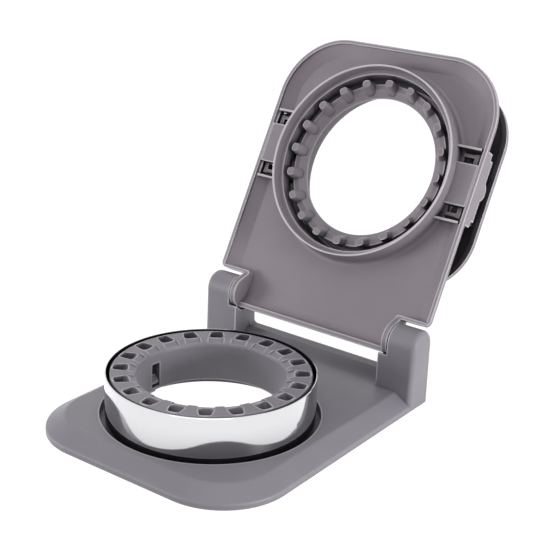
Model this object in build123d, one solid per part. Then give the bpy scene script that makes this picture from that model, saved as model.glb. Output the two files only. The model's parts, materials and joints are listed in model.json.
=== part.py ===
from build123d import *
import math
import os

# Crustless sandwich cutter, standing with its lid open.
# Millimetres, +Z up. The origin is on the cutting ring's axis, at table height.
# +X is right and +Y is towards the hinge.
# The lid and its press are drawn shut over the base, then swung open about the hinge.

# Cutters run this far past what they cut, and added pieces start this far inside their own body
overshoot = 1.0
bury = 0.3

# Base plate
side_margin = 14.0
front_y = -57.5
corner_radius = 30.6
base_lip = 2.4
base_shoulder = 8.0
shoulder_round = 2.5
lip_round = 1.2
plate_top = 7.4
plate_thickness = 2.4
base_wall = 2.2
rib_thickness = 1.4
rib_x = 22.0
rib_foot = 0.4

# Cutting ring
ring_radius = 45.0
ring_sheet = 0.6
ring_top = 26.1
ring_foot_z = 3.4
ring_foot_width = 2.9

# Well and collar that hold the ring
well_gap = 2.3
well_wall = 1.5
well_floor = 1.5
collar_top = 16.0
collar_wall = 1.6
hub_gap = 4.0

# Lower die
die_top = 26.0
die_width = 11.4
die_wall = 1.8
die_skin = 6.4
die_inner_round = 3.2
die_outer_round = 0.8
die_to_ring = 1.5
die_outer_wall = 1.2
die_foot_z = 7.0
window_width = 5.0
window_low = 8.4
window_high = 19.6

# Pockets in the lower die
tooth_count = 20
pocket_end_width = 4.9
pocket_mouth_width = 6.8
pocket_wall = 1.1
pocket_depth = 4.8
pocket_floor_length = 4.4
pocket_length = 6.6
pocket_lip_drop = 0.15
pocket_exit_drop = 2.0
pocket_round = 1.5

# Snap fingers of the base
finger_width = 4.2
finger_thickness = 1.8
finger_top = 13.6
lug_low = 9.5
lug_high = 12.8

# Hinge
hinge_y = 75.1
hinge_z = 28.7
open_angle = 119.1
tower_radius = 7.6
tower_draft = 0.8
tower_round = 2.2
shoulder_width = 4.0
shoulder_top = 23.6
saddle_gap = 0.7
ear_radius = 7.7
ear_thickness = 2.8
ear_outer = 44.5
ear_gap = 0.5
stub_radius = 2.5
stub_length = 7.5
stub_clearance = 0.05
stub_end_gap = 0.3
core_top = 17.0
tower_cheek = 2.6

# Ridge between the towers
ridge_top = 11.1
ridge_start_y = 70.0
ridge_cove = 10.7
ridge_end_round = 2.0
ridge_end_wall = 2.0

# Lid, shut
lid_rim_z = 27.4
lid_lip = 2.0
lid_height = 6.5
lid_skin = 2.0
lid_slope_run = 8.0
lid_rim_width = 1.8
lid_cove = 1.0
lid_inner_lip = 1.3
lid_corner_cove = 1.5
lid_back_gap = 1.6
lid_small_round = 3.0
lid_bottom_wall = 1.6
tail_radius = 7.3
tail_wall = 2.4
tail_cove = 4.0

# Guard ring on the lid
guard_drop = 5.6
guard_wall = 0.7
guard_draft = 0.6
guard_root_round = 2.0
guard_gap_rim = 1.0
guard_gap_ledge = 0.5
ledge_gap = 0.3
ledge_to_die = 2.2

# Spring bays of the lid
bay_gap = 0.3
bay_margin = 2.8
platform_half = 9.8
window_end = 16.7
ledge_width = 1.5
bay_rib = 1.0
bay_wall = 1.0
tab_thickness = 2.0
tab_half = 17.4
tab_rise = 6.8
tab_notch = 3.0
tab_notch_depth = 2.6
bump_radius = 4.5
bump_rise = 11.6

# Press
press_half_length = 50.0
press_corner = 28.0
press_side_gap = 0.1
press_plate_z = 45.5
press_thickness = 2.2
press_skirt = 1.6
press_edge_round = 1.5
press_hole_gap = 0.1

# Hook legs of the press
leg_width = 7.5
leg_margin = 1.2
leg_thickness = 1.8
leg_gap = 0.2
web_thickness = 2.0
web_gap = 0.4
barb_reach = 1.3
barb_height = 1.95
barb_gap = 0.05

# Upper die
upper_face_z = 31.0
upper_thickness = 3.0
upper_to_ring = 3.8
upper_width = 7.4
upper_face_inset = 1.2
upper_edge_height = 1.0
upper_chamfer_width = 3.2
upper_chamfer_height = 2.2
tube_wall = 1.4
tube_rise = 1.7
flange_reach = 1.8
flange_thickness = 2.0
tab_radius = 2.5

# Pegs of the upper die
peg_tip_width = 2.9
peg_tip_length = 2.6
peg_root_width = 5.4
peg_root_length = 5.8
peg_length = 4.7
peg_inset = 0.3
peg_draft_step = 0.2
peg_corner = 1.2
peg_tip_round = 0.45

# Screws that hold the upper die to the press
screw_shank = 0.9
screw_head_radius = 1.7
screw_head_height = 1.2
screw_bite = 1.7
screw_clearance = 0.2
recess_width = 0.5
recess_length = 2.0
recess_depth = 0.6

# Return springs
spring_outer = 3.5
spring_wire = 0.9
spring_turns = 6.5
spring_seat = 0.02
boss_radius = 2.3
boss_height = 3.0

half_width = ring_radius + side_margin
rear_y = 2 * hinge_y - (
    hinge_y
    - tower_radius * math.cos(math.radians(tower_draft))
    - (hinge_z + tower_radius * math.sin(math.radians(tower_draft))) * math.tan(math.radians(tower_draft))
)
tower_inner = ear_outer + ear_gap
shoulder_inner = ear_outer - shoulder_width
die_radius = ring_radius - ring_sheet - die_to_ring
die_bore = die_radius - die_width
hub_radius = die_bore + hub_gap
pocket_outer = die_radius - pocket_wall
collar_radius = die_radius - die_outer_wall - 0.1
well_radius = ring_radius + well_gap
lid_back_y = hinge_y - tower_radius - lid_back_gap
lid_floor_z = lid_rim_z + lid_height - lid_skin
lid_back_z = lid_rim_z + lid_height
guard_outer = ring_radius + guard_gap_rim + guard_wall
bay_inner = guard_outer + bay_gap
bay_outer = half_width - bay_margin
tab_inner = half_width - tab_thickness
leg_outer = bay_outer - leg_margin
spring_x = (guard_outer + guard_draft + tab_inner) / 2
upper_radius = ring_radius - upper_to_ring
upper_bore = upper_radius - upper_width
flange_radius = upper_radius + flange_reach
ledge_inner = upper_radius + ledge_to_die
peg_outer = upper_radius - peg_inset
hinge_axis = Axis((0, hinge_y, hinge_z), (1, 0, 0))


def outline(half_x, front, back, front_radius, back_radius):
    """Rounded rectangle with one radius at the front corners and another at the back ones."""
    face = make_face(Polyline((-half_x, front), (half_x, front), (half_x, back), (-half_x, back), close=True))
    face = fillet(face.vertices().group_by(Axis.Y)[0], front_radius)
    return fillet(face.vertices().group_by(Axis.Y)[-1], back_radius) if back_radius else face


def tray(low, high, z_rim, z_lip, z_top):
    """An upright lip on the low outline, then sides that slope in to the high outline."""
    lip = extrude(Pos(0, 0, z_rim) * low, z_lip - z_rim)
    return lip + loft([Pos(0, 0, z_lip) * low, Pos(0, 0, z_top) * high], ruled=True)


def block(x0, x1, y0, y1, z0, z1):
    """A box between two corners."""
    return Pos((x0 + x1) / 2, (y0 + y1) / 2, (z0 + z1) / 2) * Box(x1 - x0, y1 - y0, z1 - z0)


def turned(points):
    """A solid of revolution about the ring's axis from (radius, height) points."""
    return revolve(make_face(Plane.XZ * Polyline(*points, close=True)), Axis.Z)


def radial(points, width):
    """A slab of the given width that lies along a radius, from (radius, height) points."""
    return extrude(make_face(Plane.XZ * Polyline(*points, close=True)), width / 2, both=True)


def across(face, x0, x1):
    """A (y, z) face extruded from x0 to x1."""
    return Pos(x0, 0, 0) * extrude(Plane.YZ * face, x1 - x0)


def both_sides(solid):
    """A solid and its mirror image in the middle plane."""
    return solid + mirror(solid, Plane.YZ)


def pin(radius, x0, x1):
    """A round bar on the hinge axis."""
    return Pos((x0 + x1) / 2, hinge_y, hinge_z) * Rot(0, 90, 0) * Cylinder(radius, x1 - x0)


def teeth(tooth):
    """Twenty copies of one tooth or pocket round the ring's axis."""
    return [Rot(0, 0, i * 360 / tooth_count) * tooth for i in range(tooth_count)]


def tower_outline():
    """Side view of a hinge tower: drafted front and back, half-round top about the hinge."""
    lean = math.radians(tower_draft)
    side_y = hinge_y - tower_radius * math.cos(lean)
    side_z = hinge_z + tower_radius * math.sin(lean)
    foot_y = 2 * hinge_y - rear_y
    front = Line((foot_y, 0), (side_y, side_z))
    top = ThreePointArc((side_y, side_z), (hinge_y, hinge_z + tower_radius), (2 * hinge_y - side_y, side_z))
    back = Line((2 * hinge_y - side_y, side_z), (rear_y, 0))
    return make_face([front, top, back, Line((rear_y, 0), (foot_y, 0))])


def base_shell():
    """The plate with its soft shoulder, hollow from below."""
    low = outline(half_width, front_y, rear_y, corner_radius, 0)
    high = outline(
        half_width - base_shoulder, front_y + base_shoulder, rear_y, corner_radius - base_shoulder, 0
    )
    shell = tray(low, high, 0, base_lip, plate_top)
    top_edges = shell.edges().filter_by_position(Axis.Z, plate_top, plate_top)
    shell = fillet([e for e in top_edges if e.center().Y < rear_y - overshoot], shoulder_round)
    lip_edges = shell.edges().filter_by_position(Axis.Z, base_lip, base_lip)
    shell = fillet([e for e in lip_edges if e.center().Y < rear_y - overshoot], lip_round)
    rise = plate_top - base_lip
    slope = math.hypot(base_shoulder, rise)
    ceiling = plate_top - plate_thickness
    run = base_shoulder / rise
    wall_z = base_lip + base_wall / run - base_wall * slope / base_shoulder
    inset = base_wall + (ceiling - wall_z) * run
    low = outline(
        half_width - base_wall, front_y + base_wall, rear_y - base_wall, corner_radius - base_wall, 0
    )
    high = outline(half_width - inset, front_y + inset, rear_y - base_wall, corner_radius - inset, 0)
    return shell - tray(low, high, 0, wall_z, ceiling)


def well():
    """Trough round the ring, collar inside the lower die and the hub floor."""
    trough_top = ring_foot_z
    low = trough_top - well_floor
    ceiling = plate_top - plate_thickness
    inner = collar_radius - collar_wall
    return turned(
        [
            (well_radius + well_wall, low),
            (well_radius + well_wall, ceiling + 0.5),
            (well_radius, ceiling + 0.5),
            (well_radius, trough_top),
            (collar_radius, trough_top),
            (collar_radius, collar_top - 0.6),
            (collar_radius - 0.6, collar_top),
            (inner, collar_top),
            (inner, plate_top),
            (hub_radius, plate_top),
            (hub_radius, ceiling),
            (inner - 1.2, ceiling),
            (inner, ceiling - 1.2),
            (inner, low),
        ]
    )


def snap_finger():
    """Finger on the hub floor whose lug snaps into the lower die's window."""
    face = die_bore + die_wall + 0.2
    back = face + finger_thickness
    ceiling = plate_top - plate_thickness
    lug = die_bore + 0.4
    return radial(
        [
            (hub_radius + 1, ceiling),
            (face, ceiling),
            (face, lug_low),
            (lug, lug_low + 0.4),
            (lug, lug_low + 1.5),
            (face, lug_high),
            (face, finger_top),
            (back, finger_top),
            (back, plate_top),
            (hub_radius + 1, plate_top),
        ],
        finger_width,
    )


def underside_ribs():
    """Two long ribs and a cross rib under the rear of the plate."""
    z0 = rib_foot
    z1 = plate_top - plate_thickness + bury
    back = rear_y - base_wall + bury
    outer = well_radius + well_wall
    start = math.sqrt(outer**2 - (rib_x + rib_thickness / 2) ** 2) - bury
    long_rib = block(rib_x - rib_thickness / 2, rib_x + rib_thickness / 2, start, back, z0, z1)
    middle = block(-rib_thickness / 2, rib_thickness / 2, outer - bury, back, z0, z1)
    return both_sides(long_rib) + middle


def ridge():
    """Low ridge between the towers with a cove at its front."""
    rise = ridge_top - plate_top
    turn = math.degrees(math.acos(1 - rise / ridge_cove))
    cove = JernArc((ridge_start_y, plate_top), (1, 0), ridge_cove, turn)
    end = cove @ 1
    foot = plate_top - overshoot
    outer = Polyline(
        (end.X, end.Y), (rear_y, ridge_top), (rear_y, foot), (ridge_start_y, foot), (ridge_start_y, plate_top)
    )
    ceiling = plate_top - plate_thickness
    core_y = end.X + bury
    core = block(
        -shoulder_inner + ridge_end_wall,
        shoulder_inner - ridge_end_wall,
        core_y,
        rear_y - base_wall,
        ceiling - overshoot,
        ridge_top - plate_thickness,
    )
    return across(make_face([cove, outer]), -shoulder_inner, shoulder_inner), core


def tower():
    """Right-hand tower with the saddle for the lid's ear and a blind bore for its stub axle."""
    outer = across(tower_outline(), tower_inner, half_width)
    edges = outer.edges().filter_by_position(Axis.X, half_width, half_width)
    outer = fillet([e for e in edges if e.center().Z > 1], tower_round)
    shoulder = across(tower_outline(), shoulder_inner, tower_inner)
    shoulder -= pin(ear_radius + saddle_gap, shoulder_inner - 1, tower_inner)
    reach = 2 * tower_radius
    shoulder -= block(
        shoulder_inner - 1, tower_inner, hinge_y - reach, hinge_y + reach, shoulder_top, hinge_z + reach
    )
    body = outer + shoulder
    bore_end = ear_outer + stub_length + stub_end_gap
    body -= pin(stub_radius + stub_clearance, tower_inner - 1, bore_end)
    core_y = tower_radius - base_wall
    return body, block(
        tower_inner + tower_cheek, half_width - base_wall, hinge_y - core_y, hinge_y + core_y, -1, core_top
    )


def base_plate():
    """The moulded base: plate, well, collar, snap fingers, ridge and hinge towers."""
    high = 2 * hinge_z
    past = rear_y + tower_radius
    lean = math.tan(math.radians(tower_draft)) * high
    behind = make_face(
        Polyline((rear_y, 0), (rear_y - lean, high), (past, high), (past, -1), (rear_y, -1), close=True)
    )
    ridge_solid, ridge_core = ridge()
    body = base_shell() + ridge_solid - across(behind, -half_width - 1, half_width + 1)
    body -= Cylinder(well_radius, 2 * die_top)
    body += well() + both_sides(snap_finger()) + underside_ribs()
    body -= ridge_core
    edge = half_width - tower_round
    body -= both_sides(block(edge, half_width + 1, hinge_y, rear_y + 1, -1, plate_top + 1))
    tower_solid, tower_core = tower()
    body += both_sides(tower_solid)
    body -= both_sides(tower_core)
    corner = [
        e
        for e in body.edges().filter_by(Axis.Y)
        if abs(abs(e.center().X) - shoulder_inner) < 0.01 and abs(e.center().Z - ridge_top) < 0.01
    ]
    return fillet(corner, ridge_end_round)


def cutting_ring():
    """Steel band with an inward foot flange that the lower die traps."""
    inner = ring_radius - ring_sheet
    foot = ring_radius - ring_foot_width
    return turned(
        [
            (ring_radius, ring_foot_z),
            (ring_radius, ring_top - 0.25),
            (ring_radius - 0.25, ring_top),
            (inner, ring_top),
            (inner, ring_foot_z + ring_sheet),
            (foot, ring_foot_z + ring_sheet),
            (foot, ring_foot_z),
        ]
    )


def pocket():
    """Cutter for one pocket: flat floor outside, steep ramp inside and a shallow exit to the bore."""
    floor = die_top - pocket_depth
    above = die_top + pocket_depth / 2
    lip = pocket_outer - pocket_length
    far = die_bore - overshoot
    side = [
        (pocket_outer, above),
        (pocket_outer, floor),
        (pocket_outer - pocket_floor_length, floor),
        (lip, die_top - pocket_lip_drop),
        (far, die_top - pocket_exit_drop),
        (far, above),
    ]
    half_end = pocket_end_width / 2
    half_mouth = pocket_mouth_width / 2
    plan = [
        (pocket_outer, -half_end),
        (pocket_outer, half_end),
        (lip, half_mouth),
        (far, half_mouth),
        (far, -half_mouth),
        (lip, -half_mouth),
    ]
    prism = extrude(make_face(Polyline(*plan, close=True)), above - floor + 2 * overshoot)
    shape = radial(side, 2 * pocket_mouth_width) & Pos(0, 0, floor - overshoot) * prism
    low = [e for e in shape.edges() if abs(e.center().Y) > 0.1 and e.center().X > lip + 0.1]
    return fillet([e for e in low if e.center().Z < above - 0.1], pocket_round)


def lower_die():
    """Ring with twenty pockets, two walls below it and a window for each snap lug."""
    inner_wall = die_bore + die_wall
    outer_wall = die_radius - die_outer_wall
    under = die_top - die_skin
    foot = ring_foot_z + ring_sheet
    body = turned(
        [
            (die_bore, die_foot_z),
            (die_bore, die_top),
            (die_radius, die_top),
            (die_radius, foot),
            (outer_wall, foot),
            (outer_wall, under),
            (inner_wall, under),
            (inner_wall, die_foot_z),
        ]
    )
    top = body.edges().filter_by(GeomType.CIRCLE).filter_by_position(Axis.Z, die_top, die_top)
    body = fillet([e for e in top if e.radius < die_radius - 1], die_inner_round)
    top = body.edges().filter_by(GeomType.CIRCLE).filter_by_position(Axis.Z, die_top, die_top)
    body = fillet([e for e in top if e.radius > die_radius - 1], die_outer_round)
    half = window_width / 2
    window = block(die_bore - overshoot, inner_wall + overshoot, -half, half, window_low, window_high)
    return body - teeth(pocket()) - both_sides(window)


def tail_outline():
    """Side view of the lid's tail, rolled round the hinge axis at its end."""
    rise = lid_back_z - hinge_z
    drop = lid_rim_z - hinge_z
    start = (hinge_y + math.sqrt(tail_radius**2 - rise**2), lid_back_z)
    end = (hinge_y + math.sqrt(tail_radius**2 - drop**2), lid_rim_z)
    roll = ThreePointArc(start, (hinge_y + tail_radius, hinge_z), end)
    inside = lid_back_y - lid_small_round
    return make_face([roll, Polyline(end, (inside, lid_rim_z), (inside, lid_back_z), start)])


def tail_cavity():
    """Side view of the hollow of the tail, with a large cove where its floor meets the end."""
    end = hinge_y + tail_radius - tail_wall
    inside = lid_back_y - lid_bottom_wall - 2
    low = lid_rim_z - 1
    face = make_face(
        Polyline((inside, low), (end, low), (end, lid_floor_z), (inside, lid_floor_z), close=True)
    )
    return fillet(face.vertices().sort_by_distance((end, lid_floor_z))[0], tail_cove)


def ear():
    """Right-hand ear of the lid: a disc about the hinge, a web up to the notch and the stub axle."""
    run = lid_back_y - hinge_y
    drop = lid_rim_z - hinge_z
    way = math.atan2(drop, run) + math.acos(ear_radius / math.hypot(run, drop))
    touch = (hinge_y + ear_radius * math.cos(way), hinge_z + ear_radius * math.sin(way))
    web = Polyline((lid_back_y, lid_rim_z), touch, (hinge_y, hinge_z), (lid_back_y, hinge_z), close=True)
    inner = ear_outer - ear_thickness
    stub = pin(stub_radius, ear_outer - 0.5, ear_outer + stub_length)
    return pin(ear_radius, inner, ear_outer) + across(make_face(web), inner, ear_outer) + stub


def lid_dish():
    """Shallow dish of the lid with its tail and ears."""
    low = outline(half_width, front_y, lid_back_y, corner_radius, 0)
    high = outline(
        half_width - lid_slope_run, front_y + lid_slope_run, lid_back_y, corner_radius - lid_slope_run, 0
    )
    dish = tray(low, high, lid_rim_z, lid_rim_z + lid_lip, lid_back_z)
    back = dish.edges().filter_by_position(Axis.Z, lid_back_z, lid_back_z)
    dish = fillet([e for e in back if e.center().Y < lid_back_y - 0.5], 1.5)
    rear_corners = [e for e in dish.edges().filter_by(Axis.Z) if abs(e.center().Y - lid_back_y) < 0.01]
    dish = fillet(rear_corners, lid_small_round)
    dish += across(tail_outline(), -ear_outer, ear_outer)
    cavity_back = lid_back_y - lid_bottom_wall
    low = outline(
        half_width - lid_rim_width, front_y + lid_rim_width, cavity_back, corner_radius - lid_rim_width, 0
    )
    high = outline(
        half_width - lid_slope_run, front_y + lid_slope_run, cavity_back, corner_radius - lid_slope_run, 0
    )
    cavity = tray(low, high, lid_rim_z - overshoot, lid_rim_z + lid_inner_lip, lid_floor_z)
    floor_edges = cavity.edges().filter_by_position(Axis.Z, lid_floor_z, lid_floor_z)
    cavity = fillet([e for e in floor_edges if e.center().Y < cavity_back - 0.5], lid_cove)
    tail_half = ear_outer - ear_thickness
    cavity += across(tail_cavity(), -tail_half, tail_half)
    turns = [
        e
        for e in cavity.edges().filter_by(Axis.Z)
        if abs(abs(e.center().X) - tail_half) < 0.01 and abs(e.center().Y - cavity_back) < 0.01
    ]
    cavity = fillet(turns, lid_corner_cove)
    return dish - cavity + both_sides(ear())


def guard_solid():
    """Outside of the guard ring that slides down over the cutting ring, flared into the lid's floor."""
    low = lid_rim_z - guard_drop
    top = lid_floor_z + 0.5
    core = ledge_inner - 0.5
    foot = guard_outer + guard_draft
    flare = guard_root_round
    swing = Line((guard_outer, low), (foot, lid_floor_z - flare))
    root = RadiusArc((foot, lid_floor_z - flare), (foot + flare, lid_floor_z), flare)
    end = foot + flare
    rest = Polyline((end, lid_floor_z), (end, top), (core, top), (core, low), (guard_outer, low))
    return revolve(make_face(Plane.XZ * Curve([swing, root, rest])), Axis.Z)


def guard_cavity():
    """Inside of the guard ring: tapered wall, ledge over the ring's edge, then the bore."""
    ledge_z = ring_top + ledge_gap
    low = lid_rim_z - guard_drop - 1
    return turned(
        [
            (0, low),
            (ring_radius + guard_gap_rim, low),
            (ring_radius + guard_gap_rim, low + 1),
            (ring_radius + guard_gap_ledge, ledge_z),
            (ledge_inner, ledge_z),
            (ledge_inner, lid_back_z + overshoot),
            (0, lid_back_z + overshoot),
        ]
    )


def bay_cuts():
    """Openings of one spring bay: the pocket behind the platform and the two hook windows."""
    platform_back = lid_rim_z + lid_skin
    pocket_end = window_end - ledge_width
    back = block(bay_inner + bury, tab_inner, -pocket_end, pocket_end, platform_back, lid_back_z + overshoot)
    window = block(bay_inner, bay_outer, platform_half, window_end, lid_rim_z - 1, lid_floor_z)
    return back + window + mirror(window, Plane.XZ)


def bay_solids():
    """Platform, ribs, pocket walls and side tab of one spring bay."""
    platform_back = lid_rim_z + lid_skin
    platform = block(ring_radius, tab_inner, -platform_half, platform_half, lid_rim_z, platform_back)
    rib_inner = math.sqrt(guard_outer**2 - window_end**2) - guard_wall
    rib_z = (lid_rim_z, lid_floor_z + 0.2)
    rib = block(rib_inner, bay_outer, window_end, window_end + bay_rib, *rib_z)
    wall = block(
        bay_inner, tab_inner, platform_half - bay_wall, platform_half, platform_back - 0.2, lid_back_z
    )
    tab_z = lid_rim_z + lid_lip
    side = make_face(
        Polyline(
            (-tab_half, tab_z - 1),
            (-tab_half, tab_z + tab_rise - tab_notch_depth),
            (-tab_half + tab_notch, tab_z + tab_rise - tab_notch_depth),
            (-tab_half + tab_notch, tab_z + tab_rise),
            (tab_half - tab_notch, tab_z + tab_rise),
            (tab_half - tab_notch, tab_z + tab_rise - tab_notch_depth),
            (tab_half, tab_z + tab_rise - tab_notch_depth),
            (tab_half, tab_z - 1),
            close=True,
        )
    )
    bump = Pos(0, lid_rim_z + bump_rise - bump_radius) * Circle(bump_radius)
    tab = across(side + bump, tab_inner, half_width)
    return platform + rib + mirror(rib, Plane.XZ) + wall + mirror(wall, Plane.XZ) + tab


def lid_frame():
    """The moulded lid: dish, hinge ears, guard ring and spring bays."""
    body = lid_dish() + guard_solid()
    body -= both_sides(bay_cuts())
    body += both_sides(bay_solids())
    return body - guard_cavity()


def hook_leg():
    """One L-shaped leg of the press whose barb catches under the lid's floor ledge."""
    outer = window_end - ledge_width - leg_gap
    low = lid_floor_z - barb_gap - barb_height
    side = make_face(
        Polyline(
            (outer - leg_thickness, press_plate_z + 0.2),
            (outer - leg_thickness, low),
            (outer - 0.3, low),
            (outer + barb_reach, low + barb_height - 0.6),
            (outer + barb_reach, low + barb_height),
            (outer, low + barb_height),
            (outer, press_plate_z + 0.2),
            close=True,
        )
    )
    web_inner = leg_outer - web_thickness
    web = block(web_inner, leg_outer, platform_half + web_gap, outer, low, press_plate_z + 0.2)
    return across(side, leg_outer - leg_width, leg_outer) + web


def press_plate():
    """Plate behind the lid that the palm pushes, with its skirt, hook legs and spring bosses."""
    half_x = half_width - press_side_gap
    back_z = press_plate_z + press_thickness
    face = outline(half_x, -press_half_length, press_half_length, press_corner, press_corner)
    inner_end = press_half_length - press_thickness
    inner_corner = press_corner - press_thickness
    inner = outline(half_x - press_thickness, -inner_end, inner_end, inner_corner, inner_corner)
    skirt_z = press_plate_z - press_skirt
    body = extrude(Pos(0, 0, skirt_z) * face, back_z - skirt_z)
    back_edges = body.edges().filter_by_position(Axis.Z, back_z, back_z)
    body = fillet(back_edges, press_edge_round)
    body -= extrude(Pos(0, 0, skirt_z - 1) * inner, press_skirt + 1)
    body -= Pos(0, 0, press_plate_z) * Cylinder(upper_radius + press_hole_gap, 4 * press_thickness)
    body += both_sides(hook_leg() + mirror(hook_leg(), Plane.XZ))
    boss = Pos(spring_x, 0, press_plate_z - boss_height / 2 + 0.1) * Cylinder(boss_radius, boss_height + 0.2)
    body += both_sides(boss)
    return body - screw_places(Cylinder(screw_shank + 0.05, 2 * screw_bite + 0.2))


def screw_places(tool):
    """A tool placed on each screw axis, centred on the plate's front face."""
    angles = (45, 135, 225, 315)
    return [Rot(0, 0, a) * Pos(flange_radius, 0, press_plate_z) * tool for a in angles]


def peg_section(outer, length, width, z):
    """Level section of a peg, a rectangle with round corners whose outer side is at a given radius."""
    face = Pos(outer - length / 2, 0, z) * Rectangle(length, width)
    return fillet(face.vertices(), peg_corner)


def peg():
    """One peg of the upper die: tapered, with a sloped back that flares towards the bore."""
    tip = peg_section(peg_outer - peg_draft_step, peg_tip_length, peg_tip_width, upper_face_z - peg_length)
    root_z = upper_face_z + upper_chamfer_height
    root = peg_section(peg_outer, peg_root_length, peg_root_width, root_z)
    shape = loft([tip, root], ruled=True)
    return fillet(shape.edges().group_by(Axis.Z)[0], peg_tip_round)


def upper_die():
    """Ring of twenty pegs on a tube that the press carries."""
    inner = upper_radius - tube_wall
    face_radius = upper_radius - upper_face_inset
    back = upper_face_z + upper_thickness
    flange_z = press_plate_z - flange_thickness
    tube_top = press_plate_z + tube_rise
    body = turned(
        [
            (upper_bore + upper_chamfer_width, upper_face_z),
            (upper_bore, upper_face_z + upper_chamfer_height),
            (upper_bore, back),
            (inner, back),
            (inner, tube_top),
            (upper_radius, tube_top),
            (upper_radius, press_plate_z),
            (flange_radius, press_plate_z),
            (flange_radius, flange_z),
            (upper_radius, flange_z),
            (upper_radius, upper_face_z + upper_edge_height + upper_face_inset),
            (face_radius, upper_face_z + upper_edge_height),
            (face_radius, upper_face_z),
        ]
    )
    tab = Pos(0, 0, -flange_thickness / 2) * Cylinder(tab_radius, flange_thickness)
    body += screw_places(tab)
    body -= screw_places(Cylinder(screw_shank + screw_clearance, 2 * flange_thickness + 2))
    body -= turned([(0, back), (inner, back), (inner, tube_top + overshoot), (0, tube_top + overshoot)])
    return body + teeth(peg())


def die_screws():
    """Four small screws through the upper die's tabs into the press."""
    head_z = -flange_thickness - screw_head_height / 2
    shank_length = flange_thickness + screw_bite
    head = Pos(0, 0, head_z) * Cylinder(screw_head_radius, screw_head_height)
    shank = Pos(0, 0, screw_bite - shank_length / 2) * Cylinder(screw_shank, shank_length)
    recess_z = -flange_thickness - screw_head_height + recess_depth / 2
    slot = Box(recess_length, recess_width, recess_depth)
    recess = Pos(0, 0, recess_z) * (slot + Rot(0, 0, 90) * slot)
    return Compound(children=screw_places(head + shank - recess))


def helix_point(radius, rise, turns):
    """Point and direction on a helix after a number of turns."""
    angle = 2 * math.pi * turns
    slope = rise / (2 * math.pi)
    point = Vector(radius * math.cos(angle), radius * math.sin(angle), rise * turns)
    return point, Vector(-radius * math.sin(angle), radius * math.cos(angle), slope).normalized()


def biarc(start, start_way, end, end_way):
    """Two arcs that join two points along given directions."""
    span = end - start
    ways = start_way + end_way
    bend = 2 * (1 - start_way.dot(end_way))
    along = span.dot(ways)
    reach = (-along + math.sqrt(along**2 + bend * span.dot(span))) / bend
    first = start + start_way * reach
    last = end - end_way * reach
    middle = (first + last) / 2
    return [TangentArc(start, middle, tangent=start_way), TangentArc(middle, end, tangent=last - first)]


def return_spring():
    """Compression spring on the right-hand platform, one unbroken tube."""
    radius = spring_outer - spring_wire / 2
    low = lid_rim_z + lid_skin + spring_wire / 2 + spring_seat
    high = press_plate_z - spring_wire / 2 - spring_seat
    rise = (high - low) / spring_turns
    arcs = []
    for quarter in range(int(4 * spring_turns)):
        start, start_way = helix_point(radius, rise, quarter / 4)
        end, end_way = helix_point(radius, rise, (quarter + 1) / 4)
        arcs += biarc(start, start_way, end, end_way)
    path = Wire(arcs)
    start, start_way = helix_point(radius, rise, 0)
    section = Plane(origin=start, z_dir=start_way) * Circle(spring_wire / 2)
    tube = sweep(section, path=path)
    expected = math.pi * (spring_wire / 2) ** 2 * path.length
    print("spring volume against section times length:", round(tube.volume / expected, 4))
    print("spring least gap to itself:", round(least_gap(radius, rise), 2), "mm")
    return Pos(spring_x, 0, low) * tube


def least_gap(radius, rise):
    """Smallest clear distance between points at least half a turn apart on the spring."""
    steps = int(spring_turns * 24)
    points = [helix_point(radius, rise, i / 24)[0] for i in range(steps + 1)]
    apart = [(points[i] - points[j]).length for i in range(steps + 1) for j in range(i + 12, steps + 1)]
    return min(apart) - spring_wire


def swung_open(solid):
    """A shut lid part turned to the open pose about the hinge."""
    return solid.rotate(hinge_axis, -open_angle)


os.makedirs("parts", exist_ok=True)
spring = return_spring()
nodes = {
    "base_plate": base_plate(),
    "cutting_ring": cutting_ring(),
    "lower_die": lower_die(),
    "lid_frame": swung_open(lid_frame()),
    "press_plate": swung_open(press_plate()),
    "upper_die": swung_open(upper_die()),
    "die_screws": swung_open(die_screws()),
    "return_spring_right": swung_open(spring),
    "return_spring_left": swung_open(mirror(spring, Plane.YZ)),
}
for name, solid in nodes.items():
    export_step(solid, f"parts/{name}.step")
    print(name, round(solid.volume, 1), "mm3", len(solid.solids()), "solids")
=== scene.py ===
import bpy
import bmesh
import json
import math
from mathutils import Matrix, Vector


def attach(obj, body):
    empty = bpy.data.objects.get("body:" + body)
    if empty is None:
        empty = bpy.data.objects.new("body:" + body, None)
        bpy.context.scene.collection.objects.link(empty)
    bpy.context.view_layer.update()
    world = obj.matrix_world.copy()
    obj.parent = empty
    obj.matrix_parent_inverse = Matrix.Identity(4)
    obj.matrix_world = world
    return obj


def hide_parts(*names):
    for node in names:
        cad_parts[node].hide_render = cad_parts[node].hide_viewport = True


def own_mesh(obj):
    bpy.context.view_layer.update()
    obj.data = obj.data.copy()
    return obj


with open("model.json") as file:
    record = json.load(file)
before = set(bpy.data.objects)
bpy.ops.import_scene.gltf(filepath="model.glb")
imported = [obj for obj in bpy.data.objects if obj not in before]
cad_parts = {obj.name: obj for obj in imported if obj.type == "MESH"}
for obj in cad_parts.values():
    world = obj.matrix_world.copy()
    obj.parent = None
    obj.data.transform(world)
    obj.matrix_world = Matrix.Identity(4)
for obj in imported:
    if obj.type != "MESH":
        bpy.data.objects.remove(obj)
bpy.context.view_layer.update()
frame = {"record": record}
joints = {joint["name"]: joint for joint in frame["record"]["behaviour"]["joints"]}

MM = 0.001

# Camera: lens and place worked out from the object's own outlines in a 551 px square frame
FRAME_PX = 551
FOCAL_PX = 1241.75
SENSOR_MM = 36.0
CAMERA_MM = (300.6, -371.2, 247.7)
CAMERA_AZIMUTH = 35.95
CAMERA_ELEVATION = 20.45
CAMERA_ROLL = 2.23

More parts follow.
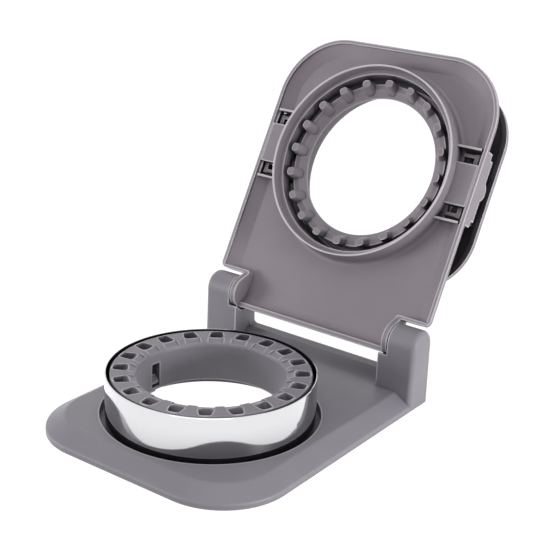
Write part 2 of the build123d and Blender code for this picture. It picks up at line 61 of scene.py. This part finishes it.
# Colours, as sRGB hex
BASE_GREY = "7a767d"
BASE_GREY_DEEP = "6e6a71"
LID_GREY = "7d767c"
LID_GREY_DEEP = "716a70"
# Painted highlight: the paler grey mixed in along moulded edges
EDGE_HIGHLIGHT_GREY = "ccc7cc"
STEEL_BRIGHT = "b4b4b6"
STEEL_WIRE = "8c8c90"
FLOOR_PALE = "f4f4f4"
BACKDROP_WHITE = "ffffff"
FILL_WHITE = "f6f6ff"

# Sizes of surface patterns, in mm
MOULD_GRAIN_MM = 0.35
MOULD_GRAIN_HEIGHT_MM = 0.03
MOULD_CLOUD_MM = 18.0
POLISH_LINE_MM = 0.12
WIRE_SCRATCH_MM = 0.25

# Roughness of each finish, at its smoothest and its roughest spots
ABS_ROUGHNESS = (0.45, 0.57)
BAND_ROUGHNESS = (0.05, 0.11)
WIRE_ROUGHNESS = (0.34, 0.54)

# The noise's values that span a roughness range, and the strength of the grain's bump
NOISE_SPREAD = (0.3, 0.7)
GRAIN_STRENGTH = 0.12

# Index of refraction of ABS, and the scale along X, Y and Z that draws the polish lines out round the band
ABS_IOR = 1.46
POLISH_STRETCH = (0.02, 0.02, 1.0)

# Ambient occlusion: rays, and in mm how far they reach for the painted edge highlight's width, for the
# painted shade in a recess, and for the painted shade at the band's foot
OCCLUSION_SAMPLES = 8
EDGE_HIGHLIGHT_BAND_MM = 0.9
PEG_HIGHLIGHT_BAND_MM = 0.7
RECESS_SHADE_REACH_MM = 9.0
PRESS_SHADE_REACH_MM = 25.0
BAND_SHADE_MM = 14.0

# Painted shade, darkening the base colour in recesses and at the band's foot: openness at which that is
# full, openness at which it ends, and how much stays
SHALLOW_SHADE = (0.3, 0.65, 0.65)
DEEP_SHADE = (0.27, 0.5, 0.12)
PRESS_SHADE = (0.5, 0.73, 0.1)
BAND_SHADE = (0.5, 0.95, 0.45)

# Painted highlight, a paler grey along moulded edges: openness from inside at which that starts and is full,
# and how strong it is
EDGE_HIGHLIGHT_START = 0.93
EDGE_HIGHLIGHT_FULL = 0.55
EDGE_HIGHLIGHT_STRENGTH = 0.8

# That painted highlight fades in around the openness at which a recess's painted shade ends
HIGHLIGHT_FADE_BELOW = 0.1
HIGHLIGHT_FADE_ABOVE = 0.05

# Pegs of the upper die, in mm: sections (height over the die's face, length along the radius, width)
PEG_COUNT = 20
PEG_FACE_Z = 31.0
PEG_OUTER_RADIUS = 41.1
PEG_SECTIONS = (
    (1.5, 6.4, 6.6),
    (0.0, 5.4, 5.5),
    (-2.3, 4.5, 5.2),
    (-4.3, 3.5, 4.2),
    (-4.62, 3.3, 4.0),
    (-4.75, 2.9, 3.5),
)

# How fast a peg's outer side leans in towards its tip, points round a section, and how square it is
PEG_OUTER_DRAFT = 0.05
PEG_SIDES = 32
PEG_SQUARENESS = 3.0

# Brightness of the white surroundings in a reflection, against 1 for the camera, and of their even light
MIRRORED_WHITE = 1.7
FILL_STRENGTH = 0.25

# Table top, in metres: half its side, and its drop below the object; and the grey that keeps a shadow on it
FLOOR_HALF = 3.0
FLOOR_DROP = 0.0001
FLOOR_SHADOW_GREY = 0.12

# Soft lamps: place and side in metres, power in watts; all look at the target
LAMPS = {
    "right_softbox": ((1.0, 0.06, 0.08), 0.3, 11.5),
    "left_softbox": ((-0.80, -0.60, 0.12), 0.35, 6.0),
    "front_softbox": ((-0.20, -0.80, 0.55), 0.5, 1.5),
    "top_softbox": ((0.05, -0.10, 0.95), 0.8, 3.5),
}
LAMP_TARGET = (0.0, 0.02, 0.05)


def linear(hex_colour):
    """sRGB hex to the linear values that a shader socket takes."""
    parts = [int(hex_colour[i : i + 2], 16) / 255 for i in (0, 2, 4)]
    return [c / 12.92 if c <= 0.04045 else ((c + 0.055) / 1.055) ** 2.4 for c in parts] + [1.0]


def add_node(tree, kind, inputs=None, **settings):
    """Adds a node, sets its properties, and fills or links its inputs by name or number."""
    node = tree.nodes.new(kind)
    for name, value in settings.items():
        setattr(node, name, value)
    for name, value in (inputs or {}).items():
        if isinstance(value, bpy.types.NodeSocket):
            tree.links.new(value, node.inputs[name])
        else:
            node.inputs[name].default_value = value
    return node


def new_material(name):
    """An empty node material and its tree."""
    material = bpy.data.materials.new(name)
    material.use_nodes = True
    material.node_tree.nodes.clear()
    return material, material.node_tree


def object_place(tree):
    """The point's place on its own object, in metres."""
    return add_node(tree, "ShaderNodeTexCoord").outputs["Object"]


def noise(tree, place, size, detail, roughness=0.5):
    """Noise whose spots are about as large as a size in mm."""
    inputs = {"Vector": place, "Scale": 1 / (size * MM), "Detail": detail, "Roughness": roughness}
    return add_node(tree, "ShaderNodeTexNoise", inputs).outputs["Fac"]


def remap(tree, value, start, end, low=0.0, high=1.0):
    """Takes a value's run from start to end to low and high, and holds it there beyond."""
    inputs = {"Value": value, "From Min": start, "From Max": end, "To Min": low, "To Max": high}
    return add_node(tree, "ShaderNodeMapRange", inputs).outputs["Result"]


def openness(tree, reach, **settings):
    """One on an open face, less where other surfaces stand closer than a reach in mm."""
    occlusion = add_node(
        tree,
        "ShaderNodeAmbientOcclusion",
        {"Distance": reach * MM},
        samples=OCCLUSION_SAMPLES,
        **settings,
    )
    return occlusion.outputs["AO"]


def mixed(tree, factor, first, second):
    """The first colour at a factor of 0, the second at 1."""
    inputs = {"Factor": factor, "A": first, "B": second}
    return add_node(tree, "ShaderNodeMix", inputs, data_type="RGBA").outputs["Result"]


def dimmed(tree, colour, share):
    """A colour times a share."""
    inputs = {0: colour, "Scale": share}
    return add_node(tree, "ShaderNodeVectorMath", inputs, operation="SCALE").outputs["Vector"]


def surface(tree, **inputs):
    """Ends a material with a Principled shader whose inputs are named with underscores for spaces."""
    named = {name.replace("_", " "): value for name, value in inputs.items()}
    shader = add_node(tree, "ShaderNodeBsdfPrincipled", named)
    add_node(tree, "ShaderNodeOutputMaterial", {"Surface": shader.outputs["BSDF"]})


def moulded_abs(name, light, deep, shade, highlight_band=EDGE_HIGHLIGHT_BAND_MM, shade_reach=RECESS_SHADE_REACH_MM):
    """Injection-moulded ABS: a fine grain gives a soft satin sheen, with faint clouding, a painted highlight
    along the edges and painted shade in recesses.
    """
    material, tree = new_material(name)
    shade_full, shade_end, shade_left = shade
    place = object_place(tree)
    grain = noise(tree, place, MOULD_GRAIN_MM, 2.0, 0.6)
    cloud = noise(tree, place, MOULD_CLOUD_MM, 3.0)
    colour = mixed(tree, cloud, linear(light), linear(deep))
    # Painted shade: the base colour is darkened where other surfaces close the point in
    around = openness(tree, shade_reach)
    # Painted highlight: a paler grey is mixed in along edges, faded out where the painted shade falls
    within = openness(tree, highlight_band, inside=True, only_local=True)
    on_edge = remap(tree, within, EDGE_HIGHLIGHT_START, EDGE_HIGHLIGHT_FULL)
    outside = remap(
        tree, around, shade_end - HIGHLIGHT_FADE_BELOW, shade_end + HIGHLIGHT_FADE_ABOVE, high=EDGE_HIGHLIGHT_STRENGTH
    )
    highlight_mask = add_node(tree, "ShaderNodeMath", {0: on_edge, 1: outside}, operation="MULTIPLY").outputs["Value"]
    highlighted = mixed(tree, highlight_mask, colour, linear(EDGE_HIGHLIGHT_GREY))
    bump = add_node(
        tree,
        "ShaderNodeBump",
        {"Height": grain, "Strength": GRAIN_STRENGTH, "Distance": MOULD_GRAIN_HEIGHT_MM * MM},
    )
    surface(
        tree,
        # Painted shade dims the base colour here, by openness
        Base_Color=dimmed(tree, highlighted, remap(tree, around, shade_full, shade_end, shade_left)),
        Roughness=remap(tree, grain, *NOISE_SPREAD, *ABS_ROUGHNESS),
        Normal=bump.outputs["Normal"],
        IOR=ABS_IOR,
    )
    return material


def polished_stainless():
    """Rolled stainless strip, polished: mirror-like, with faint lines round the band and painted shade that
    darkens its foot.
    """
    material, tree = new_material("polished_stainless")
    stretched = add_node(
        tree, "ShaderNodeMapping", {"Vector": object_place(tree), "Scale": POLISH_STRETCH}
    ).outputs["Vector"]
    lines = noise(tree, stretched, POLISH_LINE_MM, 2.0)
    shade_full, shade_end, shade_left = BAND_SHADE
    # Painted shade: the band's colour is darkened near the plate, which dims its reflection there
    shade = remap(tree, openness(tree, BAND_SHADE_MM), shade_full, shade_end, shade_left)
    surface(
        tree,
        Base_Color=dimmed(tree, linear(STEEL_BRIGHT)[:3], shade),
        Metallic=1.0,
        Roughness=remap(tree, lines, *NOISE_SPREAD, *BAND_ROUGHNESS),
    )
    return material


def drawn_wire():
    """Drawn spring wire and plated screws: dull grey steel with fine scratches."""
    material, tree = new_material("drawn_steel_wire")
    scratch = noise(tree, object_place(tree), WIRE_SCRATCH_MM, 2.0)
    surface(
        tree,
        Base_Color=linear(STEEL_WIRE),
        Metallic=1.0,
        Roughness=remap(tree, scratch, 0.0, 1.0, *WIRE_ROUGHNESS),
    )
    return material


def dress(material, *nodes):
    """Gives every material slot of some CAD nodes one finish."""
    for node in nodes:
        piece = bpy.data.objects[node]
        if not piece.material_slots:
            piece.data.materials.append(material)
        for place in piece.material_slots:
            place.material = material


def add_object(name, data):
    """A new object in the scene."""
    thing = bpy.data.objects.new(name, data)
    bpy.context.collection.objects.link(thing)
    return thing


def peg_ring(height, length, width):
    """Points round one level section of a peg: a rectangle with soft corners, out along +X."""
    middle = PEG_OUTER_RADIUS + PEG_OUTER_DRAFT * height - length / 2
    points = []
    for i in range(PEG_SIDES):
        angle = 2 * math.pi * i / PEG_SIDES
        along, across = math.cos(angle), math.sin(angle)
        x = math.copysign(abs(along) ** (2 / PEG_SQUARENESS), along) * length / 2
        y = math.copysign(abs(across) ** (2 / PEG_SQUARENESS), across) * width / 2
        points.append(Vector((middle + x, y, PEG_FACE_Z + height)) * MM)
    return points


def one_peg():
    """Mesh of a single peg, its tip down, as it stands while the lid is shut."""
    mesh = bpy.data.meshes.new("peg")
    form = bmesh.new()
    rings = [[form.verts.new(point) for point in peg_ring(*section)] for section in PEG_SECTIONS]
    for upper, lower in zip(rings, rings[1:]):
        for i in range(PEG_SIDES):
            j = (i + 1) % PEG_SIDES
            form.faces.new((upper[i], lower[i], lower[j], upper[j])).smooth = True
    form.faces.new(rings[0])
    form.faces.new(list(reversed(rings[-1])))
    bmesh.ops.recalc_face_normals(form, faces=form.faces)
    form.to_mesh(mesh)
    form.free()
    return mesh


def peg_circle_tree(material):
    """Geometry Nodes: turns copies of a peg round the ring's axis, then swings them open with the lid."""
    tree = bpy.data.node_groups.new("peg_circle", "GeometryNodeTree")
    tree.interface.new_socket("Peg", in_out="INPUT", socket_type="NodeSocketGeometry")
    tree.interface.new_socket("Count", in_out="INPUT", socket_type="NodeSocketInt")
    tree.interface.new_socket("Swing", in_out="INPUT", socket_type="NodeSocketFloat")
    tree.interface.new_socket("Shift", in_out="INPUT", socket_type="NodeSocketVector")
    tree.interface.new_socket("Pegs", in_out="OUTPUT", socket_type="NodeSocketGeometry")
    given = add_node(tree, "NodeGroupInput").outputs
    places = add_node(tree, "GeometryNodePoints", {"Count": given["Count"]})
    step = add_node(tree, "ShaderNodeMath", {0: 2 * math.pi, 1: given["Count"]}, operation="DIVIDE")
    index = add_node(tree, "GeometryNodeInputIndex")
    angle = add_node(
        tree, "ShaderNodeMath", {0: index.outputs["Index"], 1: step.outputs["Value"]}, operation="MULTIPLY"
    )
    turn = add_node(tree, "ShaderNodeCombineXYZ", {"Z": angle.outputs["Value"]})
    copies = add_node(
        tree,
        "GeometryNodeInstanceOnPoints",
        {"Points": places.outputs["Points"], "Instance": given["Peg"], "Rotation": turn.outputs["Vector"]},
    )
    swing = add_node(tree, "ShaderNodeCombineXYZ", {"X": given["Swing"]})
    opened = add_node(
        tree,
        "GeometryNodeTransform",
        {
            "Geometry": copies.outputs["Instances"],
            "Rotation": swing.outputs["Vector"],
            "Translation": given["Shift"],
        },
    )
    real = add_node(tree, "GeometryNodeRealizeInstances", {"Geometry": opened.outputs["Geometry"]})
    finish = add_node(
        tree, "GeometryNodeSetMaterial", {"Geometry": real.outputs["Geometry"], "Material": material}
    )
    add_node(tree, "NodeGroupOutput", {"Pegs": finish.outputs["Geometry"]})
    return tree


def die_pegs(material):
    """The twenty tapered pegs that press the bread's rim into the lower die's pockets."""
    hinge = joints["lid_hinge"]
    swing = -math.radians(hinge["range_deg"][1])
    axis_point = Vector(hinge["pos_m"])
    shift = axis_point - Matrix.Rotation(swing, 3, "X") @ axis_point
    maker = add_object("peg_maker", one_peg())
    nodes = maker.modifiers.new("pegs", "NODES")
    nodes.node_group = peg_circle_tree(material)
    values = {"Count": PEG_COUNT, "Swing": swing, "Shift": shift}
    for socket in nodes.node_group.interface.items_tree:
        if socket.name in values:
            nodes[socket.identifier] = values[socket.name]
    bpy.context.view_layer.update()
    evaluated = maker.evaluated_get(bpy.context.evaluated_depsgraph_get())
    mesh = bpy.data.meshes.new_from_object(evaluated)
    bpy.data.objects.remove(maker)
    pegs = add_object("die_pegs", mesh)
    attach(pegs, "press")


def coil_springs(material):
    """The two return springs: copies of the rigid CAD springs in the given finish, carried with the lid in
    their place.
    """
    for side in ("left", "right"):
        node = "return_spring_" + side
        mesh = bpy.data.objects[node].data.copy()
        mesh.materials.clear()
        mesh.materials.append(material)
        coil = add_object("coil_spring_" + side, mesh)
        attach(coil, "lid")
        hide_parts(node)
        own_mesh(coil)


def seen_or_mirrored(tree):
    """One where the camera or a reflection looks, for the plain white backdrop."""
    path = add_node(tree, "ShaderNodeLightPath").outputs
    inputs = {0: path["Is Camera Ray"], 1: path["Is Glossy Ray"]}
    return add_node(tree, "ShaderNodeMath", inputs, operation="MAXIMUM").outputs["Value"]


def white_strength(tree):
    """One for the camera, and a little more in a reflection, as polished steel mirrors the lit studio."""
    mirrored = add_node(tree, "ShaderNodeLightPath").outputs["Is Glossy Ray"]
    return remap(tree, mirrored, 0.0, 1.0, 1.0, MIRRORED_WHITE)


def white_world():
    """Plain white backdrop, with a soft even light from all round."""
    world = bpy.data.worlds.new("studio")
    bpy.context.scene.world = world
    world.use_nodes = True
    tree = world.node_tree
    tree.nodes.clear()
    backdrop = add_node(
        tree, "ShaderNodeBackground", {"Color": linear(BACKDROP_WHITE), "Strength": white_strength(tree)}
    )
    fill = add_node(
        tree, "ShaderNodeBackground", {"Color": linear(FILL_WHITE), "Strength": FILL_STRENGTH}
    )
    mix = add_node(
        tree,
        "ShaderNodeMixShader",
        {0: seen_or_mirrored(tree), 1: fill.outputs["Background"], 2: backdrop.outputs["Background"]},
    )
    add_node(tree, "ShaderNodeOutputWorld", {"Surface": mix.outputs["Shader"]})


def pale_table():
    """White to the eye with a faint shadow, and a pale surface for the light that it throws back."""
    material, tree = new_material("pale_table")
    plain = add_node(tree, "ShaderNodeBsdfDiffuse", {"Color": linear(FLOOR_PALE)})
    faint = add_node(tree, "ShaderNodeBsdfDiffuse", {"Color": [FLOOR_SHADOW_GREY] * 3 + [1.0]})
    glow = add_node(
        tree, "ShaderNodeEmission", {"Color": linear(BACKDROP_WHITE), "Strength": white_strength(tree)}
    )
    bright = add_node(tree, "ShaderNodeAddShader", {0: faint.outputs["BSDF"], 1: glow.outputs["Emission"]})
    mix = add_node(
        tree,
        "ShaderNodeMixShader",
        {0: seen_or_mirrored(tree), 1: plain.outputs["BSDF"], 2: bright.outputs["Shader"]},
    )
    add_node(tree, "ShaderNodeOutputMaterial", {"Surface": mix.outputs["Shader"]})
    return material


def floor():
    """Large pale table top that keeps a faint shadow of the object."""
    mesh = bpy.data.meshes.new("floor")
    corners = [(-1, -1), (1, -1), (1, 1), (-1, 1)]
    mesh.from_pydata([(x * FLOOR_HALF, y * FLOOR_HALF, -FLOOR_DROP) for x, y in corners], [], [(0, 1, 2, 3)])
    mesh.materials.append(pale_table())
    table = add_object("floor", mesh)


def softbox(name, place, size, power):
    """A square area light that looks at the object."""
    light = bpy.data.lights.new(name, "AREA")
    light.shape = "SQUARE"
    light.size = size
    light.energy = power
    lamp = add_object(name, light)
    lamp.location = place
    lamp.rotation_euler = (Vector(LAMP_TARGET) - Vector(place)).to_track_quat("-Z", "Y").to_euler()


def photo_camera():
    """Camera at the photograph's angle, with its slight roll."""
    azimuth = math.radians(CAMERA_AZIMUTH)
    elevation = math.radians(CAMERA_ELEVATION)
    level = math.cos(elevation)
    back = Vector((math.sin(azimuth) * level, -math.cos(azimuth) * level, math.sin(elevation)))
    right = Vector((math.cos(azimuth), math.sin(azimuth), 0))
    up = back.cross(right)
    roll = math.radians(CAMERA_ROLL)
    x_axis = right * math.cos(roll) + up * math.sin(roll)
    y_axis = up * math.cos(roll) - right * math.sin(roll)
    data = bpy.data.cameras.new("camera")
    data.sensor_width = SENSOR_MM
    data.lens = FOCAL_PX / FRAME_PX * SENSOR_MM
    camera = add_object("camera", data)
    turn = Matrix((x_axis, y_axis, back)).transposed().to_4x4()
    camera.matrix_world = Matrix.Translation(Vector(CAMERA_MM) * MM) @ turn
    bpy.context.scene.camera = camera


dress(moulded_abs("moulded_abs_base", BASE_GREY, BASE_GREY_DEEP, SHALLOW_SHADE), "base_plate", "lower_die")
dress(moulded_abs("moulded_abs_lid", LID_GREY, LID_GREY_DEEP, DEEP_SHADE), "lid_frame", "upper_die")
dress(
    moulded_abs(
        "moulded_abs_press", LID_GREY, LID_GREY_DEEP, PRESS_SHADE, shade_reach=PRESS_SHADE_REACH_MM
    ),
    "press_plate",
)
die_pegs(moulded_abs("moulded_abs_pegs", LID_GREY, LID_GREY_DEEP, DEEP_SHADE, highlight_band=PEG_HIGHLIGHT_BAND_MM))
dress(polished_stainless(), "cutting_ring")
wire = drawn_wire()
dress(wire, "die_screws")
coil_springs(wire)

white_world()
floor()
for lamp_name, lamp in LAMPS.items():
    softbox(lamp_name, *lamp)
photo_camera()
bpy.context.scene.view_settings.view_transform = "Standard"
